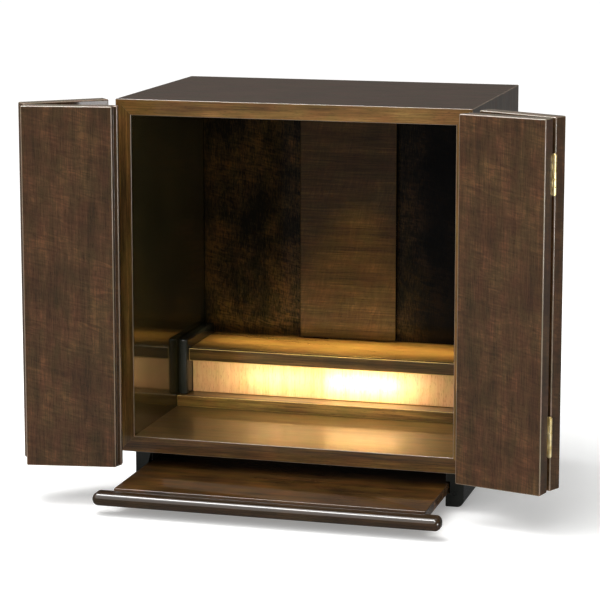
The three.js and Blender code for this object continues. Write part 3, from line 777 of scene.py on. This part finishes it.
def screw_head(centre, axes):
    """A countersunk screw's head: a low dome with a cross recess, on a polar grid.

    The height over the plate is a shallow dome, less a smooth-sided trench wherever the point is near
    either of the cross's two centre lines and inside its arms' reach.
    """
    share = np.array(SCREW_RINGS)
    turned, _ = circle(1, ROUND_STEPS)
    flat = (SCREW_RADIUS * share)[:, None, None] * turned
    dome = SCREW_DOME * (1 - share ** 2)[:, None]
    dome[0] = -SCREW_RIM_DEPTH
    near_arm = np.abs(flat).min(axis=2) / CROSS_HALF_WIDTH
    along_arm = np.abs(flat).max(axis=2) / CROSS_REACH
    trench = np.clip(CROSS_SLOPE - CROSS_SLOPE * np.maximum(near_arm, along_arm), 0, 1)
    height = dome - CROSS_DEPTH * trench
    rings = np.concatenate([flat, height[..., None]], axis=2)
    return placed((rings, grid_normals(rings)), axes, centre)


def hinge_leaf(own, way, reach):
    """One leaf of a butt hinge about its axis: plate, knuckles and screws.

    Its own directions are along the wood, out of the wood, and up. way is 1 or -1 for the way that the
    plate runs. own is 0 for the leaf with three knuckles and the pin's heads, and 1 for the other leaf.
    """
    half = HINGE_LENGTH / 2
    face = PLATE_THICKNESS - PLATE_DEPTH
    flat_on = [(1, 0, 0), (0, 0, 1), (0, 1, 0)]

    def slab(near, far, low, high, corner):
        outline = rectangle(*sorted((way * near, way * far)), low, high, corner)
        return placed(prism(outline, -PLATE_DEPTH, face, PLATE_EDGE, BRASS_STEPS), flat_on)

    surfaces = [slab(PLATE_NEAR, reach, -half, half, PLATE_CORNER)]
    pitch = HINGE_LENGTH / KNUCKLES
    for knuckle in range(own, KNUCKLES, 2):
        low = -half + pitch * knuckle + KNUCKLE_GAP / 2
        high = low + pitch - KNUCKLE_GAP
        surfaces.append(prism(circle(KNUCKLE_RADIUS, PIN_STEPS), low, high, KNUCKLE_EDGE, BRASS_STEPS))
        surfaces.append(slab(TAB_NEAR, TAB_REACH, low, high, PLATE_EDGE))
    if own == 0:
        for end in (-1, 1):
            heights = sorted((end * (half - PIN_HEAD_SUNK), end * (half + PIN_HEAD_HEIGHT)))
            surfaces.append(prism(circle(PIN_HEAD_RADIUS, PIN_STEPS), *heights, PIN_HEAD_EDGE))
    for row in (-1, 0, 1):
        along = way * ((TAB_REACH + reach) / 2 + SCREW_STAGGER * (1 if row == 0 else -1))
        surfaces.append(screw_head((along, face, row * SCREW_SPACING), flat_on))
    return surfaces


def hung(surfaces, axes, place, joints):
    """Surfaces about a hinge's axis, laid along axes at a place with the door closed, then opened."""
    return [opened(placed(surface, axes, place), joints) for surface in surfaces]


def make_leaf(wood, finish, node, plan, joints):
    """One leaf whose rounded edges and upper end take a painted highlight. plan gives its outline, drawn
    with the door closed.
    """
    low, high = closed_corners(node, joints)
    surface = opened(prism(plan(low, high), low[2], high[2], LEAF_EDGE), joints)
    leaf = dress(node, [surface], [wood[finish], wood["edge"]])
    _, directions = opened((np.zeros((3, 3)), np.eye(3)), joints)
    # Painted highlight: the rounded edges and the upper end take the pale edge finish.
    paint_edge_highlights(leaf, 1, directions)
    paint_side(leaf, 1, (0, 0, 1))


def make_door(wood, word, side):
    """One bifold door with its four hinges, drawn closed and turned to the rest position."""
    swing, fold = f"door_{word}_swing", f"door_{word}_fold"
    outer_joints, inner_joints = [swing], [swing, fold]
    make_leaf(wood, f"{word}_outer", f"door_{word}_outer_leaf", plain_leaf, outer_joints)
    inner_plan = lipped_leaf if side < 0 else rebated_leaf
    make_leaf(wood, f"{word}_inner", f"door_{word}_inner_leaf", inner_plan, inner_joints)

    swing_axis = np.array(joint(swing)["pos_m"])
    fold_rest = np.array([joint(fold)["pos_m"]])
    fold_axis = turn_about(fold_rest, fold_rest, swing, -1)[0][0]
    round_side = [(0, 1, 0), (side, 0, 0), (0, 0, 1)]
    for level in ("lower", "upper"):
        side_hinge, fold_hinge = f"side_hinge_{word}_{level}", f"fold_hinge_{word}_{level}"
        height = np.mean([corner[2] for corner in corners_of(f"{side_hinge}_cabinet_plate")])
        at_side = (*swing_axis[:2], height)
        at_fold = (*fold_axis[:2], height)
        plates = {
            f"{side_hinge}_cabinet_plate": (0, 1, SIDE_PLATE_REACH, round_side, at_side, []),
            f"{side_hinge}_door_plate": (1, -1, SIDE_PLATE_REACH, round_side, at_side, outer_joints),
            f"{fold_hinge}_outer_plate": (0, side, FOLD_PLATE_REACH, np.eye(3), at_fold, outer_joints),
            f"{fold_hinge}_inner_plate": (1, -side, FOLD_PLATE_REACH, np.eye(3), at_fold, inner_joints),
        }
        for node, (own, way, reach, axes, place, joints) in plates.items():
            dress(node, hung(hinge_leaf(own, way, reach), axes, place, joints), [wood["brass"]])


def finishes():
    """Every finish of the cabinet by a short name."""
    wood = {
        # Satinwood veneer under clear lacquer: amber fibres and soft streaks run the length of each board,
        # and the lacquer lays a thin sharp gleam over them. The upper face is painted greyer and darker, a
        # painted shade, and calmer, and the outer sides are calmer too. The front's rails and uprights are
        # copies painted to the light on each, the top rail lightest, a painted highlight.
        "top": veneer("satinwood_top", "x", STAINS_AND_PAINTED_LIGHT["top"], (0.3, 0.1, 0.3), FLAT, gloss=0.12, coat=0.6),
        "top_rail": veneer("satinwood_top_rail", "x", STAINS_AND_PAINTED_LIGHT["top_rail"], (0.1, 0.02, 0.3)),
        "bottom_rail": veneer("satinwood_bottom_rail", "x", STAINS_AND_PAINTED_LIGHT["bottom_rail"], (0.6, 0.4, 0.2)),
        "upright": veneer("satinwood_upright", "z", STAINS_AND_PAINTED_LIGHT["upright"], (0.4, 0.7, 0.1)),
        "side": veneer("satinwood_side", "z", STAINS_AND_PAINTED_LIGHT["side"], (0.8, 0.1, 0.7), CALM, gloss=0.12, coat=0.6),
        # Rounded edges with a painted highlight: a fine light line round every leaf and board, and a golden
        # painted highlight on the boards in the lamps' light.
        "edge": veneer("painted_highlight_edge", "z", STAINS_AND_PAINTED_LIGHT["edge"], (0.2, 0.2, 0.6), FLAT, gloss=0.15),
        "painted_golden_edge": veneer("painted_lamplight_edge", "x", STAINS_AND_PAINTED_LIGHT["painted_golden_edge"], (0.7, 0.2, 0.1), FLAT, gloss=0.15),
        # The inside boards have a buffed lacquer, in which the lit riser is mirrored. On the floor it is
        # thinner, and the mirror fainter.
        "floor_inside": veneer(
            "satinwood_floor", "x", STAINS_AND_PAINTED_LIGHT["floor"], (0.9, 0.2, 0.5), CALM, gloss=0.03, coat=0.5),
        "step": veneer("satinwood_step", "x", STAINS_AND_PAINTED_LIGHT["step"], (0.2, 0.5, 0.7), gloss=0.05),
        "nosing": veneer("satinwood_nosing", "x", STAINS_AND_PAINTED_LIGHT["nosing"], (0.5, 0.3, 0.2), gloss=0.05),
        "shelf": veneer("satinwood_shelf", "x", STAINS_AND_PAINTED_LIGHT["shelf"], (0.6, 0.1, 0.9), CALM, gloss=0.05),
        # Blotched brown veneer on the tray, and a darker, glossier bar that shows one long bright line.
        "tray": veneer(
            "satinwood_tray", "x", STAINS_AND_PAINTED_LIGHT["tray"], (0.5, 0.9, 0.2), (0.8, 0.5, 0.7, 0.0), gloss=0.05),
        "bar": veneer("satinwood_bar", "x", STAINS_AND_PAINTED_LIGHT["bar"], (0.1, 0.6, 0.4), CALM, gloss=0.03),
        # Pale straight-grained veneer, nearly matt, so that the lamps show as broad soft pools of light.
        "riser": veneer(
            "riser_veneer", "z", STAINS_AND_PAINTED_LIGHT["riser"], (0.8, 0.3, 0.1), (0.45, 0.5, 0.3, 0.0),
            gloss=0.25, coat=0.2),
        # Golden brown figured veneer laid sideways: fine level streaks with a silky ripple.
        "figured": veneer(
            "figured_panel_veneer", "x", STAINS_AND_PAINTED_LIGHT["panel"], (0.3, 0.8, 0.6), (0.7, 0.4, 0.35, 0.5),
            gloss=0.12, coat=0.3),
        # Back board stained nearly black: mottled brown with short grain on the left, and on the right a
        # painted shade that darkens it almost to black. Its rear face is left plain and dull.
        "back": veneer(
            "dark_stained_back_with_painted_shade", "z", STAINS_AND_PAINTED_LIGHT["dark"], (0.7, 0.4, 0.8), (0.9, 0.3, 0.9, 0.9),
            fibre_length=5 * MM, coat=0.2, specular=0.05, shade=(40 * MM, 90 * MM)),
        "rear": veneer("plain_rear_board", "z", STAINS_AND_PAINTED_LIGHT["frame"], (0.1, 0.8, 0.2), CALM, gloss=0.3, coat=0.2),
        # Sprayed and buffed lacquer: deep green black inside, neutral black on the base and cheeks, with
        # clear long reflections.
        "dark_inside": lacquer("green_black_lacquer", "#252213", "#363018", (0.2, 0.1, 0.5)),
        "lacquer": lacquer("black_lacquer", "#1a1c1a", "#2c2d29", gloss=0.05),
        # Pale brass with a warm white gleam, dull dark plastic, and lenses that glow amber.
        "brass": polished_brass(),
        "fitting": moulded_fitting(),
        "lens": frosted_lens(),
    }
    seeds = {
        "left_outer": (0.15, 0.35, 0.9), "left_inner": (0.55, 0.05, 0.3),
        "right_outer": (0.85, 0.65, 0.4), "right_inner": (0.25, 0.95, 0.6),
    }
    # Figured veneer of the leaves: fine upright fibres crossed by leaning ripples, in brown, rust and olive.
    for word, seed in seeds.items():
        wood[word] = veneer(
            f"figured_door_veneer_{word}", "z", STAINS_AND_PAINTED_LIGHT["door"], seed, RIPPLED,
            fibre_length=20 * MM, gloss=0.12, coat=0.5)
    return wood


def set_camera():
    """The photograph's view: a long lens, a little above the cabinet and to its right."""
    data = bpy.data.cameras.new("photo_camera")
    data.lens = CAMERA_LENS
    data.sensor_width = SENSOR_WIDTH
    data.shift_y = CAMERA_SHIFT
    camera = bpy.data.objects.new("photo_camera", data)
    camera.location = CAMERA_PLACE
    camera.rotation_euler = (math.radians(90 - CAMERA_DIP), 0, math.radians(CAMERA_TURN))
    bpy.context.scene.collection.objects.link(camera)
    bpy.context.scene.camera = camera


def lay_floor():
    """A wide pale matt floor, with a faint unevenness, that polished faces mirror only in part."""
    half = FLOOR_HALF
    corners = [(-half, -half, 0), (half, -half, 0), (half, half, 0), (-half, half, 0)]
    mesh = bpy.data.meshes.new("studio_floor")
    mesh.from_pydata(corners, [], [(0, 1, 2, 3)])

    def inputs(tree):
        mottle = stretched_noise(tree, place_on(tree), (0.4, 0.4, 0.4))
        pale = add(tree, "ShaderNodeValToRGB", [mottle], [(0.3, "#f2f2f1"), (0.7, "#f6f6f5")])
        ray = add(tree, "ShaderNodeLightPath")
        shown = add(
            tree, "ShaderNodeMapRange", [ray.outputs["Is Glossy Ray"], 0, 1, 1, FLOOR_IN_REFLECTIONS])
        colour = add(tree, "ShaderNodeMix", {
            "Factor": 1.0, "A": pale.outputs["Color"], "B": shown.outputs["Result"],
        }, data_type="RGBA", blend_type="MULTIPLY")
        return {
            "Base Color": colour.outputs["Result"], "Roughness": 0.9, "Specular IOR Level": 0.1,
            "Emission Color": colour.outputs["Result"], "Emission Strength": FLOOR_GLOW,
        }
    mesh.materials.append(new_material("pale_matt_floor", inputs))
    floor = bpy.data.objects.new("studio_floor", mesh)
    bpy.context.scene.collection.objects.link(floor)


def add_light(name, kind, place, aim, energy, colour=(1, 1, 1), **settings):
    """A light at a place, looking at a point."""
    data = bpy.data.lights.new(name, kind)
    data.energy = energy
    data.color = colour
    for key, value in settings.items():
        setattr(data, key, value)
    light = bpy.data.objects.new(name, data)
    light.location = place
    light.rotation_mode = "QUATERNION"
    light.rotation_quaternion = Vector(np.array(aim) - np.array(place)).to_track_quat("-Z", "Y")
    bpy.context.scene.collection.objects.link(light)
    return light


def light_studio():
    """Soft light from above and in front, long gleams for the polished faces, and a pale surrounding.

    The surrounding looks white to the camera, but it lights the cabinet less, and polished faces mirror it
    less again.
    """
    world = bpy.data.worlds.new("studio")
    world.use_nodes = True
    tree = world.node_tree
    tree.nodes.clear()
    ray = add(tree, "ShaderNodeLightPath")
    seen = add(tree, "ShaderNodeMapRange", [ray.outputs["Is Camera Ray"], 0, 1, SKY_LIGHT, 1])
    mirrored = add(
        tree, "ShaderNodeMapRange", [ray.outputs["Is Glossy Ray"], 0, 1, 1, SKY_IN_REFLECTIONS])
    strength = add(
        tree, "ShaderNodeMath", [seen.outputs["Result"], mirrored.outputs["Result"]], operation="MULTIPLY")
    sky = add(tree, "ShaderNodeBackground", {
        "Color": (1, 1, 1, 1), "Strength": strength.outputs["Value"],
    })
    add(tree, "ShaderNodeOutputWorld", {"Surface": sky.outputs["Background"]})
    bpy.context.scene.world = world
    add_light("key_sun", "SUN", SUN_PLACE, (0, 0, 0), SUN_STRENGTH, angle=math.radians(SUN_ANGLE))
    for name, (place, aim, watts, width, height, gleam_only) in SOFTBOXES.items():
        softbox = add_light(name, "AREA", place, aim, watts, shape="RECTANGLE", size=width, size_y=height)
        softbox.visible_diffuse = not gleam_only
        softbox.visible_camera = not gleam_only


def light_lamps():
    """The cabinet's own warm lamps: the glow on the riser, the shelf's top and the mouth, and a beam."""
    pale, golden = linear("#fff6d6"), linear("#ffeaa4")
    riser, _ = corners_of("lit_riser")
    middle = (riser[2] + corners_of("shelf_nosing")[0][2]) / 2
    shelf_low, shelf_high = corners_of("upper_shelf")
    over_shelf = (*((shelf_low + shelf_high) / 2)[:2], shelf_high[2] + 60 * MM)
    lens_low, lens_high = corners_of("downlight_lens")
    under_lens = (*((lens_low + lens_high) / 2)[:2], lens_low[2] - LENS_GAP)
    at_pools, before_riser, at_mouth = (riser[1] - gap * MM for gap in (16, 24, 150))
    # Each glow has its place, the way it shines, watts, width, height, spread in degrees, and colour.
    glows = {
        "glow_left": ((POOL_LEFT, at_pools, middle), (0, 1, 0), 0.015, 60 * MM, 8 * MM, 160, pale),
        "glow_right": ((POOL_RIGHT, at_pools, middle), (0, 1, 0), 0.095, 76 * MM, 8 * MM, 160, pale),
        "glow_middle": ((0, before_riser, middle), (0, 1, 0), 0.1, 200 * MM, 8 * MM, 160, pale),
        "glow_mouth": ((-15 * MM, at_mouth, 0.1), (0, 1, -0.06), 0.13, 260 * MM, 20 * MM, 60, pale),
        "glow_shelf": (over_shelf, (0, 0, -1), 0.16, 280 * MM, 20 * MM, 70, golden),
        "downlight_beam": (under_lens, (0.1, -0.02, -1), 0.25, 20 * MM, 20 * MM, 60, golden),
    }
    for name, (place, way, watts, width, height, spread, colour) in glows.items():
        glow = add_light(name, "AREA", place, np.array(place) + way, watts, colour,
                         shape="RECTANGLE", size=width, size_y=height, spread=math.radians(spread))
        glow.visible_camera = False
        glow.visible_glossy = False


set_camera()
wood = finishes()
make_box(wood)
make_interior(wood)
make_lamps(wood)
make_base(wood)
make_tray(wood)
make_door(wood, "left", -1)
make_door(wood, "right", 1)
lay_floor()
light_studio()
light_lamps()
bpy.context.scene.view_settings.view_transform = "Standard"
